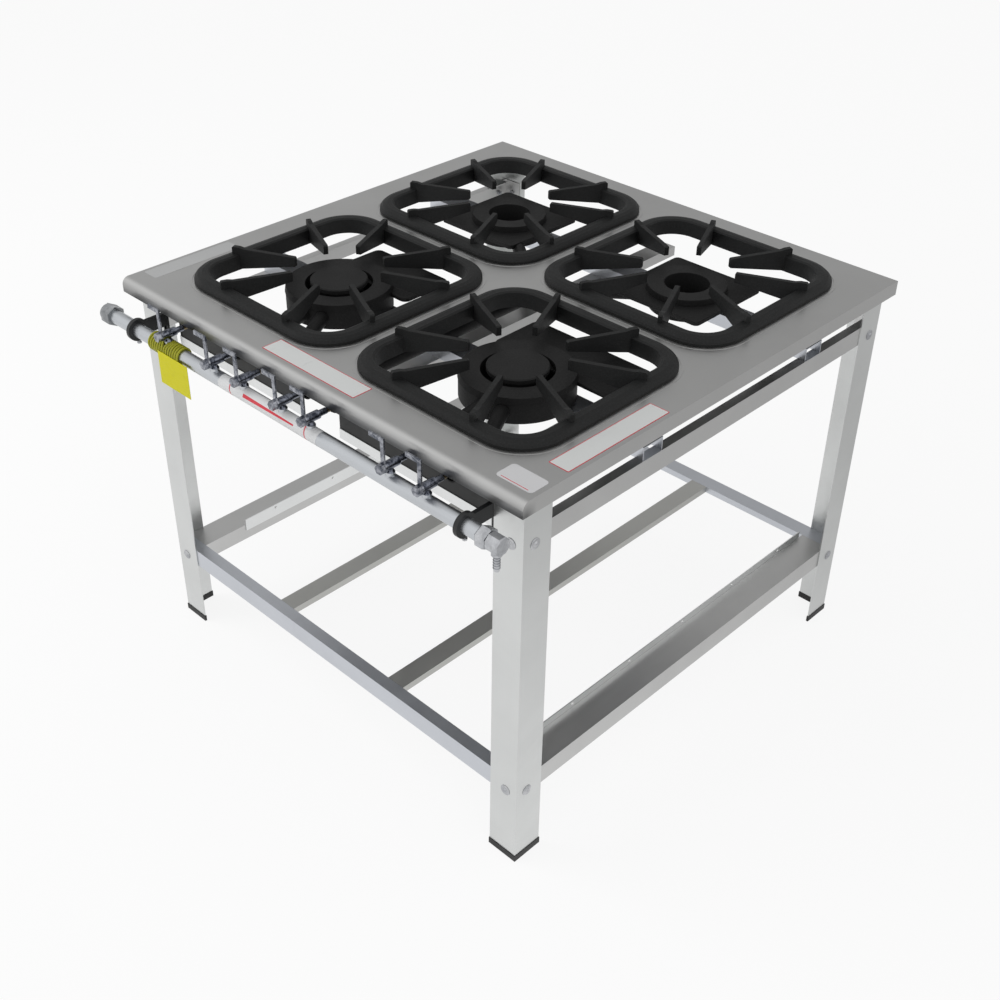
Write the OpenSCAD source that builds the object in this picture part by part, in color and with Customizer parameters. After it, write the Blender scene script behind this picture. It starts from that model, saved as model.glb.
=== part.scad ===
// Four-burner gas stove on an open folded-sheet frame, in millimetres.
// +Z is up, -Y is the front with the gas tube and valves, +X is the right side seen from the front.
// The origin is the middle of the bounding box on the floor.

/* [Overall] */
// Height of the top plate's surface above the floor
overall_height = 800; // [700:5:900]
// Width of the frame over the outer faces of the legs
frame_width = 990; // [900:5:1100]
// Depth of the frame over the outer faces of the legs
frame_depth = 990; // [900:5:1100]

/* [Top plate] */
// How far the plate stands out past the legs on each side
plate_side_overhang = 20; // [5:1:40]
// How far the plate stands out past the legs at the front
plate_front_overhang = 25; // [20:1:40]
// How far the plate stands out past the legs at the rear
plate_rear_overhang = 9; // [4:1:30]
// Thickness of the top plate's sheet
plate_sheet = 1.5; // [1:0.1:3]
// Height of the plate's skirt, from the top surface down
skirt_drop = 28; // [20:1:60]
// Outer radius of the rolled front edge
front_roll_radius = 14; // [8:1:20]
// Width of the hem turned in under the front skirt
front_hem = 10; // [5:1:20]
// How far a grate rests on the plate around its opening
grate_ledge = 15; // [8:1:18]
// Height of the lip folded down around each opening
opening_lip = 8; // [4:1:15]
// Gap between neighbouring grates
grate_gap = 32; // [20:1:50]
// Gap between a grate and the raised bead around it
bead_gap = 4; // [2:0.5:8]
// Width of the raised bead
bead_width = 4; // [2:0.5:8]
// Height of the raised bead
bead_height = 0.8; // [0.5:0.1:3]

/* [Legs] */
// Width of each flange of a leg
leg_flange = 62; // [40:1:80]
// Thickness of a leg's sheet
leg_sheet = 2; // [1:0.1:4]
// Height of the plastic shoe on a leg's foot
shoe_height = 13; // [8:1:25]
// Thickness of the shoe under the leg
shoe_sole = 3; // [1:0.5:6]
// Wall thickness of the shoe around the leg
shoe_wall = 1.2; // [0.8:0.1:3]
// Clearance between the shoe and the leg
shoe_clearance = 0.05; // [0.02:0.01:0.2]

/* [Lower rails] */
// Height of the lower rails' top above the floor
lower_rail_top = 190; // [120:5:300]
// Height of a lower rail's web
lower_rail_web = 40; // [25:1:60]
// Width of the front lower rail's top flange
front_rail_flange = 27; // [15:1:60]
// Width of the rear lower rail's top flange
rear_rail_flange = 38; // [15:1:60]
// Width of a side lower rail's top flange
side_rail_flange = 61; // [30:1:90]
// Height of the lip turned down on the front and rear rails
rail_lip = 14; // [8:1:20]
// Sheet thickness of all rails
rail_sheet = 2; // [1:0.1:3]
// Height of the strip that stands along a side rail's inner edge
edge_strip_height = 28; // [15:1:40]
// How far the strip stands above the side rail
edge_strip_rise = 14; // [5:1:25]
// Distance from the frame's front face to the strip's front end
edge_strip_front_inset = 130; // [70:2:200]
// Distance from the frame's rear face to the strip's rear end
edge_strip_rear_inset = 50; // [50:2:150]
// Radius of the small holes in the strip
edge_strip_hole_radius = 3; // [1.5:0.5:5]
// Width of a shelf slat
slat_width = 40; // [25:1:60]
// Height of a slat's turned-down edges
slat_edge = 14; // [8:1:25]
// Distance between the middles of the two slats
slat_spacing = 320; // [200:5:500]

/* [Upper rails] */
// Distance from the plate's surface down to the upper rails' top
upper_rail_drop = 81; // [72:1:120]
// Height of an upper rail's web
upper_rail_web = 38; // [25:1:60]
// Width of an upper rail's top flange
upper_rail_flange = 18; // [12:1:40]
// Width of the tabs folded in at an upper rail's ends
upper_rail_tab = 45; // [40:1:55]
// Width of the centre rail that carries the burner bars' inner ends
centre_rail_width = 40; // [25:1:60]
// Height of the centre rail
centre_rail_height = 20; // [12:1:30]
// Distance from the frame's rear face to the centre rail's rear end
centre_rail_rear_gap = 20; // [10:1:60]
// Width of a burner bar
bar_width = 50; // [30:1:70]
// How far a burner bar lies behind the middle of its burners
bar_setback = 43; // [0:1:60]
// Gap between a burner bar's top and the venturis' mouths above it
bar_venturi_gap = 6; // [3:0.5:12]
// Width of the gap between the two front panels
panel_middle_gap = 104; // [40:2:200]
// Gap between a front panel and the tube bracket beside it
panel_side_gap = 15; // [5:1:60]
// Height of a front panel
panel_height = 52.8; // [35:0.1:80]
// Distance from the frame's front face back to a panel's face
panel_setback = 20; // [10:1:40]
// Height of the bright strip along a panel's foot
panel_strip_height = 19; // [10:1:30]
// Thickness of the bright strip
panel_strip_sheet = 1.2; // [0.8:0.1:2]
// Width of the flat tie bar behind the front skirt
tie_width = 40; // [20:1:60]
// Thickness of the tie bar
tie_sheet = 3; // [2:0.5:5]
// Distance from the burner bars' top down to the tie bar's top
tie_drop = 5; // [2:1:8]

/* [Bolts] */
// Distance from the lower rails' top down to the lower bolts
lower_bolt_drop = 28; // [16:1:32]
// Distance from the upper rails' top down to the upper bolts
upper_bolt_drop = 27; // [16:1:30]
// Distance from a bolt to the leg's outer corner
bolt_inset = 26; // [15:1:40]
// Radius of a bolt's shank
bolt_radius = 3; // [2:0.5:4]
// Clearance between a bolt and its hole
bolt_clearance = 0.05; // [0.02:0.01:0.2]
// Radius of a bolt's domed head
bolt_head_radius = 6.5; // [4:0.5:10]
// Height of a bolt's domed head
bolt_head_height = 4; // [2:0.5:6]
// Distance across a nut's corners, halved
bolt_nut_radius = 5.8; // [4:0.1:9]
// Thickness of a nut
bolt_nut_height = 5; // [3:0.5:8]

/* [Grates] */
// Outer side of a grate
grate_size = 430; // [400:2:450]
// Outer corner radius of a grate
grate_radius = 85; // [50:1:110]
// Width of a grate's frame bar
grate_bar = 30; // [20:1:45]
// Height of a grate's frame bar above the plate
grate_bar_height = 15; // [10:1:25]
// Depth of the grate's inner wall that drops into the opening
grate_wall_depth = 16; // [6:0.5:16]
// Thickness of that wall at its foot
grate_wall_foot = 7; // [4:0.5:12]
// Clearance between the wall and the opening's edge
grate_wall_clearance = 3; // [1:0.5:6]
// Height of the pot fingers above the plate
finger_height = 27; // [20:1:40]
// How far a finger's outer horn stands above its pot line
finger_horn = 2; // [0:0.5:10]
// Thickness of a finger
finger_thickness = 9; // [6:0.5:14]
// Height of the underside of a finger's tip above the plate
finger_tip_bottom = 9; // [8:1:20]
// Distance from the grate's middle to a finger's tip
finger_tip_radius = 88; // [70:1:110]
// Distance from the grate's middle line to a finger's root
finger_root_offset = 92; // [60:1:120]

/* [Burners] */
// Distance from the plate's surface down to the burners' top
burner_drop = 8; // [4:1:12]
// Thickness of the square base under a rear burner's ring
burner_base_thickness = 8; // [5:1:15]
// Height of the burner rings
burner_ring_height = 12; // [6:1:20]
// Side of the square base of a rear burner
rear_base_size = 200; // [160:2:220]
// How far a front burner's drum stands in from its ring
front_drum_step = 1; // [0.5:0.5:6]
// Outer radius of a rear burner's ring
rear_ring_radius = 77; // [60:1:95]
// Radius of the well in a rear burner
rear_hole_radius = 43; // [25:1:60]
// Outer radius of a front burner's ring
front_ring_radius = 102; // [80:1:115]
// Radius of a front burner's cap
cap_radius = 54; // [40:1:62]
// Width of the round slot between a front burner's ring and its cap
flame_slot = 10; // [5:0.5:14]
// Thickness of the cap's disc
cap_thickness = 9; // [5:1:15]
// Height of the cap's top above its burner's ring
cap_rise = 8; // [0:1:8]
// Radius of the cap's spigot
cap_spigot_radius = 15; // [8:1:25]
// Length of the cap's spigot
cap_spigot_length = 14; // [8:1:20]
// Running clearance around the cap's spigot
cap_clearance = 0.05; // [0.02:0.01:0.1]
// Outer radius of a venturi tube
venturi_radius = 13; // [10:0.5:18]
// Wall thickness of a venturi tube
venturi_wall = 2.5; // [2:0.5:4]
// Outer radius of a venturi's mouth
venturi_mouth_radius = 16; // [12:0.5:22]
// Length of a venturi's mouth
venturi_mouth_length = 12; // [6:1:40]
// Length of the cone behind a venturi's mouth
venturi_cone_length = 12; // [4:1:30]

/* [Gas tube] */
// Outer radius of the gas tube
tube_radius = 13.35; // [10:0.05:18]
// Wall thickness of the gas tube
tube_wall = 2.6; // [1.5:0.1:4]
// Distance from the frame's front face to the tube's axis
tube_forward = 57; // [45:1:80]
// How far the tube reaches past the frame on the left
tube_left_reach = 11; // [0:1:30]
// How far the tube ends short of the frame's right side
tube_right_inset = 26; // [10:1:34]
// Distance across the end cap's corners, halved
end_cap_radius = 20; // [15:0.5:26]
// Length of the end cap
end_cap_length = 30; // [15:1:40]
// How far the tube reaches into the end cap and the union nut
thread_depth = 6; // [4:1:10]
// Clearance between the tube and the nuts on its ends
thread_clearance = 0.05; // [0.02:0.01:0.2]
// Distance across the union nut's corners, halved
union_radius = 19; // [16:0.5:26]
// Length of the union nut
union_length = 20; // [12:1:30]
// Radius of the elbow's body
elbow_radius = 15; // [10:0.5:20]
// Distance from the tube's axis down to the hose barb's tip
barb_drop = 49; // [35:1:70]
// Radius of the hose barb between its ridges
barb_radius = 4.8; // [3:0.1:8]
// How far a ridge stands out of the barb
barb_ridge = 1.1; // [0.5:0.1:2]
// Number of ridges on the barb
barb_ridges = 4; // [2:1:6]
// Thickness of a tube bracket
bracket_thickness = 8; // [4:0.5:12]
// Height of a tube bracket's arm
bracket_arm_height = 26; // [18:1:40]
// Thickness of the bracket's hook around the tube
bracket_hook = 8; // [5:0.5:12]
// Clearance between a hook and the tube
bracket_clearance = 0.1; // [0.05:0.05:0.5]
// Thickness of a bracket's foot plate
bracket_foot = 4; // [2:0.5:8]
// Radius of the screw under a bracket's hook
hook_screw_radius = 2.5; // [2:0.5:4]

/* [Valves] */
// Gap between the skirt's lower edge and a valve's outlet below it
valve_skirt_gap = 0.5; // [0.3:0.1:4]
// Height of a valve's stem above the gas tube's axis
valve_rise = 30; // [28:0.5:40]
// Radius of a valve's barrel
valve_barrel_radius = 8; // [6:0.5:11]
// Radius of a valve's nipple and outlet
valve_neck_radius = 5.5; // [4:0.5:7]
// Radius of the boss that carries a valve on the tube
valve_boss_radius = 8; // [6:0.5:11]
// Radius of a lever's stem
stem_radius = 4; // [3:0.1:6]
// Running clearance around a lever's stem
stem_clearance = 0.05; // [0.02:0.01:0.1]
// Height of a lever above the stem's axis
lever_height = 54; // [40:1:65]
// Length of the lever's top arm, from the middle of its bar
lever_arm = 30; // [20:1:30]
// Width of the lever's bars
lever_width = 8; // [5:0.5:12]
// Thickness of the lever
lever_thickness = 3; // [2:0.5:5]
// Radius of the lever's hub
lever_hub_radius = 9; // [7:0.5:12]
// Distance across the bonnet nut's corners, halved
bonnet_radius = 8.8; // [6:0.1:12]
// Length of the bonnet nut
bonnet_length = 9; // [5:1:15]
// Distance from the barrel's front to the tube's axis
barrel_reach = 11.7; // [9:0.1:16]
// Radius of an injector
injector_radius = 4.8; // [3:0.1:5.5]
// Length of an injector
injector_length = 16; // [8:1:20]

/* [Tag] */
// Width of the hanging tag
tag_width = 90; // [50:1:120]
// Height of the hanging tag
tag_height = 66; // [40:1:100]
// Distance from the spiral's left end to the tag's left edge
tag_offset = 38; // [0:1:60]
// Thickness of the hanging tag
tag_thickness = 0.8; // [0.5:0.1:2]
// Turns of the plastic spiral around the gas tube
spiral_turns = 14; // [6:1:20]
// Distance from one turn to the next
spiral_pitch = 5.8; // [4:0.1:10]
// Radius of the spiral's strand
spiral_strand_radius = 2.2; // [1:0.1:3]
// Clearance between the spiral and the tube
spiral_clearance = 0.15; // [0.05:0.05:1]
// Gap between the spiral and the first valve's boss, which it passes on one wide turn
spiral_boss_gap = 1.2; // [0.6:0.1:3]
// Turn of the spiral on which the wide step falls
spiral_wide_turn = 7; // [2:1:12]

/* [Hidden] */

steel = [0.62, 0.63, 0.65];
bright = [0.8, 0.8, 0.82];
iron = [0.1, 0.1, 0.1];
black = [0.05, 0.05, 0.05];
yellow = [0.87, 0.87, 0.13];
brass = [0.75, 0.6, 0.3];

// small gap left between pieces that are set side by side
seat = 0.2;
cut = 1;
half_width = frame_width / 2;
half_depth = frame_depth / 2;
plate_left = half_width + plate_side_overhang;
plate_front = half_depth + plate_front_overhang;
plate_rear = half_depth + plate_rear_overhang;
plate_under = overall_height - plate_sheet;
skirt_bottom = overall_height - skirt_drop;
opening_size = grate_size - 2 * grate_ledge;
opening_radius = grate_radius - grate_ledge;
grate_middle = (grate_size + grate_gap) / 2;
bead_inner = grate_size + 2 * bead_gap;
bead_outer = bead_inner + 2 * bead_width;

// the tube's line and what hangs on it
valve_height = skirt_bottom - valve_skirt_gap - valve_neck_radius;
tube_height = valve_height - valve_rise;
tube_left = half_width + tube_left_reach;
tube_right = half_width - tube_right_inset;
tube_y = -half_depth - tube_forward;
valve_x = [-326, -187, -103, 2, 75, 266, 348];
boss_top = tube_height + tube_radius + 4;
barrel_front = tube_y - barrel_reach;
barrel_back = tube_y + 16;
stem_depth = 16;
outlet_back = -plate_front;
lever_back = barrel_front - 0.3;
lever_front = lever_back - lever_thickness;
bonnet_front = lever_front - bonnet_length;
union_left = tube_right - thread_depth;
union_right = union_left + union_length;
elbow_x = union_right + elbow_radius - 3;
end_cap_end = tube_left - thread_depth + end_cap_length;
hook_inner = tube_radius + bracket_clearance;
hook_outer = hook_inner + bracket_hook;
bracket_right_face = half_width - leg_flange - seat;
bracket_left_face = bracket_right_face - bracket_thickness;

// the bounding box, whose middle is the origin
origin_x = (plate_left - end_cap_end) / 2;
origin_y = (plate_rear + bonnet_front) / 2;

// the inner faces that the rails are set against
inner_x = half_width - leg_sheet - seat;
inner_y = half_depth - leg_sheet - seat;
side_rail_x = inner_x - rail_sheet;
side_rail_end = inner_y - rail_sheet - seat;
lower_rail_bottom = lower_rail_top - lower_rail_web;
slat_front = -half_depth + front_rail_flange + seat;
slat_rear = half_depth - rear_rail_flange - seat;
side_rail_edge = half_width - side_rail_flange;
lower_bolt_height = lower_rail_top - lower_bolt_drop;
bolt_x = half_width - bolt_inset;
bolt_y = half_depth - bolt_inset;

// the frame under the plate
upper_rail_top = overall_height - upper_rail_drop;
upper_rail_bottom = upper_rail_top - upper_rail_web;
upper_bolt_height = upper_rail_top - upper_bolt_drop;
bar_bottom = upper_rail_top + seat;
bar_top = valve_height - venturi_mouth_radius - bar_venturi_gap;
tie_bottom = bar_top - tie_drop - tie_sheet;
panel_top = tie_bottom - seat;
panel_bottom = panel_top - panel_height;
panel_inner = panel_middle_gap / 2;
panel_outer = bracket_left_face - panel_side_gap;
panel_y = half_depth - panel_setback;
tie_front = -panel_y - tie_sheet;
tie_back = tie_front + tie_width;
upper_flange_end = side_rail_end - 10;

// the burners and their venturis
burner_top = overall_height - burner_drop;
burner_bottom = bar_top + seat;
ring_bottom = burner_top - burner_ring_height;
base_bottom = ring_bottom - burner_base_thickness;
well_bottom = burner_bottom + 5;
cap_seat = burner_top + cap_rise - cap_thickness;
cap_chamfer = 2;
chamber_step = 7;
front_slot_radius = cap_radius + flame_slot;
venturi_front = -plate_front + plate_sheet + front_hem + 4;
venturi_knuckle = 2.5;
inner_run_left = -6;
inner_run_right = inner_run_left + 2 * (venturi_radius + venturi_knuckle) + 1;

// where each venturi starts, turns and ends, from its valve back to its burner's middle
function mouth(index) = [valve_x[index - 1], venturi_front];
first_turn = venturi_front + 80;
second_turn = 60;
front_left_routes = [
    [mouth(2), [-grate_middle, -grate_middle]],
    [mouth(3), [valve_x[2], first_turn - 20], [-grate_middle, -grate_middle]]
];
front_right_routes = [
    [mouth(6), [grate_middle, -grate_middle]],
    [mouth(7), [valve_x[6], first_turn - 20], [grate_middle, -grate_middle]]
];
rear_left_routes = [
    [mouth(4), [inner_run_left, first_turn], [inner_run_left, second_turn], [-grate_middle, grate_middle]]
];
rear_right_routes = [
    [mouth(5), [inner_run_right, first_turn], [inner_run_right, second_turn], [grate_middle, grate_middle]]
];

$fn = 48;

module at_origin() {
    translate([-origin_x, -origin_y, 0]) children();
}

// shapes are drawn for the right and the rear, and carried to the side that x and y name
module on_side(x, y) {
    mirror([x < 0 ? 1 : 0, 0, 0]) mirror([0, y < 0 ? 1 : 0, 0]) children();
}

// a block between two corners
module block(low, high) {
    translate(low) cube(high - low);
}

// a plate with round corners, from its middle, made of blocks and cylinders
module round_plate(size_x, size_y, radius, height) {
    translate([-size_x / 2 + radius, -size_y / 2, 0]) cube([size_x - 2 * radius, size_y, height]);
    translate([-size_x / 2, -size_y / 2 + radius, 0]) cube([size_x, size_y - 2 * radius, height]);
    for (x = [-1, 1])
        for (y = [-1, 1])
            translate([x * (size_x / 2 - radius), y * (size_y / 2 - radius), 0])
                cylinder(r = radius, h = height);
}

// directions in plan, from one point to another: a vector of length one, and its angle
function heading(from, to) = (to - from) / norm(to - from);
function bearing(from, to) = atan2(to[1] - from[1], to[0] - from[0]);

// how far two runs of a venturi stay back from the turn between them, inside the knuckle
function knuckle_gap(route, i) = i == 0 ? 0 : 0.3 + venturi_radius
    * tan(abs(bearing(route[i], route[i + 1]) - bearing(route[i - 1], route[i])) / 2);

// a cylinder that lies level, starts at a point in plan and runs along a bearing
module level_rod(from, angle, length, radius) {
    translate(from) rotate([0, 90, angle]) cylinder(r = radius, h = length);
}

// a bolt hole along Y, or along X, with its middle at a point
module hole_along_y(x, y, z) {
    translate([x, y - 5, z]) rotate([-90, 0, 0]) cylinder(r = bolt_radius + bolt_clearance, h = 10);
}

module hole_along_x(x, y, z) {
    translate([x - 5, y, z]) rotate([0, 90, 0]) cylinder(r = bolt_radius + bolt_clearance, h = 10);
}

module each_grate_place() {
    for (x = [-1, 1])
        for (y = [-1, 1])
            translate([x * grate_middle, y * grate_middle, 0]) children();
}

// the plate's outer body, or its inner space when inset is the sheet
module plate_body(inset, foot) {
    front = -plate_front + inset;
    radius = front_roll_radius - inset;
    width = 2 * (plate_left - inset);
    roll_y = -plate_front + front_roll_radius;
    roll_z = overall_height - front_roll_radius;
    block([-width / 2, roll_y, foot], [width / 2, plate_rear - inset, overall_height - inset]);
    block([-width / 2, front, foot], [width / 2, roll_y + cut, roll_z]);
    translate([-width / 2, roll_y, roll_z]) rotate([0, 90, 0]) cylinder(r = radius, h = width);
}

module top_plate() color(steel) at_origin() {
    difference() {
        union() {
            difference() {
                plate_body(0, skirt_bottom);
                plate_body(plate_sheet, skirt_bottom - cut);
            }
            each_grate_place() translate([0, 0, overall_height - opening_lip])
                round_plate(opening_size + 2 * plate_sheet, opening_size + 2 * plate_sheet,
                    opening_radius + plate_sheet, opening_lip - plate_sheet / 2);
            each_grate_place() translate([0, 0, overall_height - plate_sheet / 2]) difference() {
                round_plate(bead_outer, bead_outer, grate_radius + bead_gap + bead_width,
                    bead_height + plate_sheet / 2);
                translate([0, 0, -cut])
                    round_plate(bead_inner, bead_inner, grate_radius + bead_gap,
                        bead_height + 2 * plate_sheet + cut);
            }
        }
        each_grate_place() translate([0, 0, overall_height - opening_lip - cut])
            round_plate(opening_size, opening_size, opening_radius, opening_lip + 2 * cut);
    }
    block([-plate_left + plate_sheet, -plate_front + plate_sheet / 2, skirt_bottom],
        [plate_left - plate_sheet, -plate_front + plate_sheet + front_hem, skirt_bottom + plate_sheet]);
}

// a leg stands at the corner that the signs of x and y name
module leg(x, y) color(bright) at_origin() on_side(x, y) difference() {
    block([half_width - leg_flange, half_depth - leg_flange, shoe_sole],
        [half_width, half_depth, plate_under - seat]);
    block([half_width - leg_flange - cut, half_depth - leg_flange - cut, 0],
        [half_width - leg_sheet, half_depth - leg_sheet, overall_height]);
    for (z = [lower_bolt_height, upper_bolt_height]) {
        hole_along_y(bolt_x, half_depth, z);
        hole_along_x(half_width, bolt_y, z);
    }
}

// a leg's outline grown on every side, from one height to another
module leg_outline(grow, bottom, top) difference() {
    reach = leg_flange + grow;
    block([half_width - reach, half_depth - reach, bottom],
        [half_width + grow, half_depth + grow, top]);
    block([half_width - reach - cut, half_depth - reach - cut, bottom - cut],
        [half_width - leg_sheet - grow, half_depth - leg_sheet - grow, top + cut]);
}

module shoe(x, y) color(black) at_origin() on_side(x, y) difference() {
    leg_outline(shoe_wall, 0, shoe_height);
    leg_outline(shoe_clearance, shoe_sole, shoe_height + cut);
}

// the lower rail at the front or the rear, with its top flange and the lip turned down from it
module end_rail(side, flange) color(bright) at_origin() on_side(1, side) difference() {
    edge = half_depth - flange;
    union() {
        block([-inner_x, inner_y - rail_sheet, lower_rail_bottom], [inner_x, inner_y, lower_rail_top]);
        block([-inner_x, edge, lower_rail_top - rail_sheet], [inner_x, inner_y, lower_rail_top]);
        block([-side_rail_end, edge, lower_rail_top - rail_lip],
            [side_rail_end, edge + rail_sheet, lower_rail_top]);
    }
    for (x = [-bolt_x, bolt_x])
        hole_along_y(x, inner_y, lower_bolt_height);
}

// the lower rail on one side: its outer web runs on under the end rails' flanges
module side_rail(side) color(bright) at_origin() on_side(side, 1) difference() {
    union() {
        block([side_rail_x, -side_rail_end, lower_rail_bottom],
            [inner_x, side_rail_end, lower_rail_top - rail_sheet - seat]);
        block([side_rail_x, slat_front, lower_rail_bottom], [inner_x, slat_rear, lower_rail_top]);
        block([side_rail_edge, slat_front, lower_rail_top - rail_sheet],
            [inner_x, slat_rear, lower_rail_top]);
        block([side_rail_edge, slat_front, lower_rail_bottom + 4],
            [side_rail_edge + rail_sheet, slat_rear, lower_rail_top]);
    }
    for (y = [-bolt_y, bolt_y])
        hole_along_x(inner_x, y, lower_bolt_height);
}

module lower_edge_strips() color(bright) at_origin() {
    outer = side_rail_edge - seat;
    front = -half_depth + edge_strip_front_inset;
    rear = half_depth - edge_strip_rear_inset;
    top = lower_rail_top + edge_strip_rise;
    hole_z = lower_rail_top + edge_strip_rise / 2;
    hole_step = (rear - front) / 5;
    for (side = [-1, 1])
        on_side(side, 1) difference() {
            block([outer - rail_sheet, front, top - edge_strip_height], [outer, rear, top]);
            for (i = [0 : 4])
                translate([outer, front + (i + 0.5) * hole_step, hole_z]) rotate([0, 90, 0])
                    cylinder(r = edge_strip_hole_radius, h = 10, center = true, $fn = 16);
        }
}

// a channel open at the bottom, centred on x, from the front to the rear
module channel_along_y(width, height, front, rear, top) difference() {
    block([-width / 2, front, top - height], [width / 2, rear, top]);
    block([rail_sheet - width / 2, front - cut, top - height - cut],
        [width / 2 - rail_sheet, rear + cut, top - rail_sheet]);
}

module slat(side) color(steel) at_origin() translate([side * slat_spacing / 2, 0, 0])
    channel_along_y(slat_width, slat_edge, slat_front, slat_rear, lower_rail_top);

// the upper rail on one side, with a tab folded in behind each leg's front or rear flange
module upper_rail(side) color(steel) at_origin() on_side(side, 1) difference() {
    union() {
        block([side_rail_x, -inner_y, upper_rail_bottom], [inner_x, inner_y, upper_rail_top]);
        block([inner_x - upper_rail_flange, -upper_flange_end, upper_rail_top - rail_sheet],
            [inner_x, upper_flange_end, upper_rail_top]);
        for (y = [-inner_y, inner_y - rail_sheet])
            block([inner_x - upper_rail_tab, y, upper_rail_bottom],
                [inner_x, y + rail_sheet, upper_rail_top]);
    }
    for (y = [-1, 1]) {
        hole_along_x(inner_x, y * bolt_y, upper_bolt_height);
        hole_along_y(bolt_x, y * inner_y, upper_bolt_height);
    }
}

module centre_rail() color(steel) at_origin()
    channel_along_y(centre_rail_width, centre_rail_height, tie_back - tie_sheet - seat,
        half_depth - centre_rail_rear_gap, upper_rail_top);

// a channel from side rail to side rail that carries two burners
module burner_bar(side) color(steel) at_origin()
    translate([0, side * grate_middle + bar_setback, 0]) difference() {
        block([-side_rail_x, -bar_width / 2, bar_bottom], [side_rail_x, bar_width / 2, bar_top]);
        block([-side_rail_x - cut, rail_sheet - bar_width / 2, bar_bottom - cut],
            [side_rail_x + cut, bar_width / 2 - rail_sheet, bar_top - rail_sheet]);
    }

// the flat tie behind the front skirt, with feet on the side rails and the centre rail
module front_tie() color(steel) at_origin() {
    foot_x = inner_x - upper_rail_flange + 4;
    foot_half = centre_rail_width / 2 - 8;
    block([-side_rail_x, tie_front, tie_bottom], [side_rail_x, tie_back, tie_bottom + tie_sheet]);
    for (side = [-1, 1])
        on_side(side, 1)
            block([foot_x, tie_front, bar_bottom], [foot_x + tie_sheet, tie_back, tie_bottom + cut]);
    block([-foot_half, tie_back - tie_sheet, bar_bottom], [foot_half, tie_back, tie_bottom + cut]);
}

// a dark panel below the tie, with its top edge turned in under the tie
module front_panel(side) color(black) at_origin() on_side(side, 1) {
    block([panel_inner, -panel_y, panel_bottom], [panel_outer, plate_sheet - panel_y, panel_top]);
    block([panel_inner, -panel_y, panel_top - plate_sheet], [panel_outer, 12 - panel_y, panel_top]);
}

module front_panel_strips() color(bright) at_origin() {
    face = -panel_y - seat;
    for (side = [-1, 1])
        on_side(side, 1) block([panel_inner, face - panel_strip_sheet, panel_bottom],
            [panel_outer, face, panel_bottom + panel_strip_height]);
}

// a bolt along +Z through joined sheets: a low dome on top, the shank, and the nut behind them
module bolt(grip) {
    foot = -grip - bolt_nut_height;
    slope = 90 - atan2(bolt_head_height, bolt_head_radius) * 2;
    dome = bolt_head_radius / cos(slope);
    rotate_extrude($fn = 20)
        polygon(concat([[0, 0]], [
            for (i = [0 : 3])
                let (angle = slope + i * (90 - slope) / 3)
                [dome * cos(angle), dome * sin(angle) - dome * sin(slope)]
        ]));
    translate([0, 0, foot - 2]) cylinder(r = bolt_radius, h = grip + bolt_nut_height + 3, $fn = 16);
    translate([0, 0, foot]) cylinder(r = bolt_nut_radius, h = bolt_nut_height, $fn = 6);
}

module bolt_pair(x, y, z, side_grip, end_grip) {
    translate([x * half_width, y * bolt_y, z]) rotate([0, x * 90, 0]) bolt(side_grip);
    translate([x * bolt_x, y * half_depth, z]) rotate([-y * 90, 0, 0]) bolt(end_grip);
}

module lower_bolts() color(bright) at_origin() {
    grip = leg_sheet + seat + rail_sheet;
    for (x = [-1, 1])
        for (y = [-1, 1])
            bolt_pair(x, y, lower_bolt_height, grip, grip);
}

// the upper bolts at the front also hold the tube's brackets
module upper_bolts() color(bright) at_origin() {
    grip = leg_sheet + seat + rail_sheet;
    for (x = [-1, 1]) {
        bolt_pair(x, -1, upper_bolt_height, grip, grip + seat + bracket_foot);
        bolt_pair(x, 1, upper_bolt_height, grip, grip);
    }
}

// how far from the middle line a finger's root stands, short of the grate's outer edge
finger_root_x = grate_size / 2 - 14;

// the frame bar's section, from its inner wall outwards
wall_top = grate_bar - grate_ledge - grate_wall_clearance;
grate_section = [
    [0, -grate_wall_depth], [grate_wall_foot, -grate_wall_depth], [wall_top, -grate_wall_depth * 0.3],
    [wall_top, 0], [grate_bar, 0],
    [grate_bar, 5], [grate_bar * 0.93, grate_bar_height * 0.6], [grate_bar * 0.77, grate_bar_height * 0.87],
    [grate_bar * 0.5, grate_bar_height], [grate_bar * 0.15, grate_bar_height], [0, grate_bar_height * 0.87]
];

module grate_side() {
    wall = grate_size / 2 - grate_bar;
    run = grate_size - 2 * grate_radius;
    translate([wall, run / 2, 0]) rotate([90, 0, 0]) linear_extrude(run) polygon(grate_section);
    translate([grate_size / 2 - grate_radius, run / 2, 0])
        rotate_extrude(angle = 90) translate([grate_radius - grate_bar, 0]) polygon(grate_section);
}

// a pot finger stands on edge: it widens from its tip to the whole depth of the inner wall
module finger() {
    wall = grate_size / 2 - grate_bar;
    root = norm([finger_root_x, finger_root_offset]);
    inner = root * wall / finger_root_x;
    horn_top = finger_height + finger_horn;
    rotate([90, 0, 0]) translate([0, 0, -finger_thickness / 2]) linear_extrude(finger_thickness) polygon([
        [finger_tip_radius, finger_tip_bottom], [finger_tip_radius, finger_height - 2],
        [finger_tip_radius + 2, finger_height], [root - 24, finger_height],
        [root - 14, horn_top], [root - 2, horn_top], [root, horn_top - 2],
        [root, grate_bar_height * 0.8], [root + 7, grate_bar_height * 0.6], [root + 7, 3],
        [inner + 4, 2], [inner + 3, 1 - grate_wall_depth]
    ]);
}

module grate(x, y) color(iron) at_origin()
    translate([x * grate_middle, y * grate_middle, overall_height + 0.05]) {
        turn = atan2(finger_root_offset, finger_root_x);
        for (quarter = [0, 90, 180, 270]) {
            rotate([0, 0, quarter]) grate_side();
            for (side = [-1, 1])
                rotate([0, 0, quarter + side * turn]) finger();
        }
    }

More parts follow.
